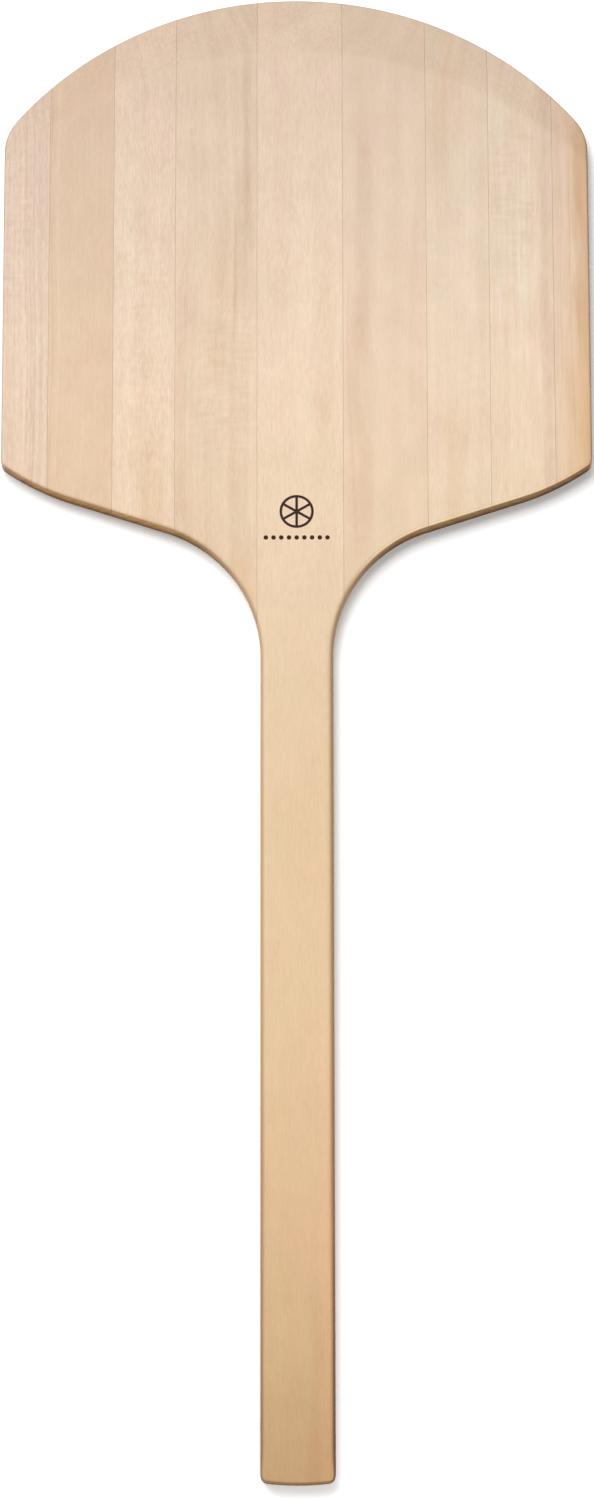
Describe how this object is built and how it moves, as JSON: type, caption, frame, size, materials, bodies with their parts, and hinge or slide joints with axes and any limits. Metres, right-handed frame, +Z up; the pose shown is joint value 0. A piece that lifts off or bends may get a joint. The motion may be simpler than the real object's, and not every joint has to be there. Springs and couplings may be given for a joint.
{
  "type": "pizza peel",
  "caption": "Flat wooden pizza peel: a wide blade with a bowed, bevelled front edge and a long straight handle, glued up edge to edge from staves.",
  "frame": {"origin": "centre of the bounding box's footprint, on the underside: midway along the peel's length and midway across the blade", "axes": "+Y along the handle towards the blade's front edge, +X to the right across the blade, +Z up through the board's thickness"},
  "size_m": [0.416, 1.067, 0.016],
  "materials": {
    "wood_cream": "sanded, unfinished, pale cream",
    "wood_pale": "sanded, unfinished, palest cream with light streaks",
    "wood_rose": "sanded, unfinished, pinkish tan",
    "wood_tan": "sanded, unfinished, pale tan",
    "wood_amber": "sanded, unfinished, orange-brown grain",
    "glue": "hardened wood glue, satin",
    "ink": "dry stamped ink, matt"
  },
  "bodies": {
    "root": {"handle_stave": "wood_cream", "left_stave_1": "wood_rose", "left_stave_2": "wood_pale", "left_stave_3": "wood_tan", "left_stave_4": "wood_rose", "right_stave_1": "wood_rose", "right_stave_2": "wood_tan", "right_stave_3": "wood_pale", "right_stave_4": "wood_amber", "glue_left_1": "glue", "glue_left_2": "glue", "glue_left_3": "glue", "glue_left_4": "glue", "glue_right_1": "glue", "glue_right_2": "glue", "glue_right_3": "glue", "glue_right_4": "glue", "printed_mark": "ink"}
  },
  "joints": []
}
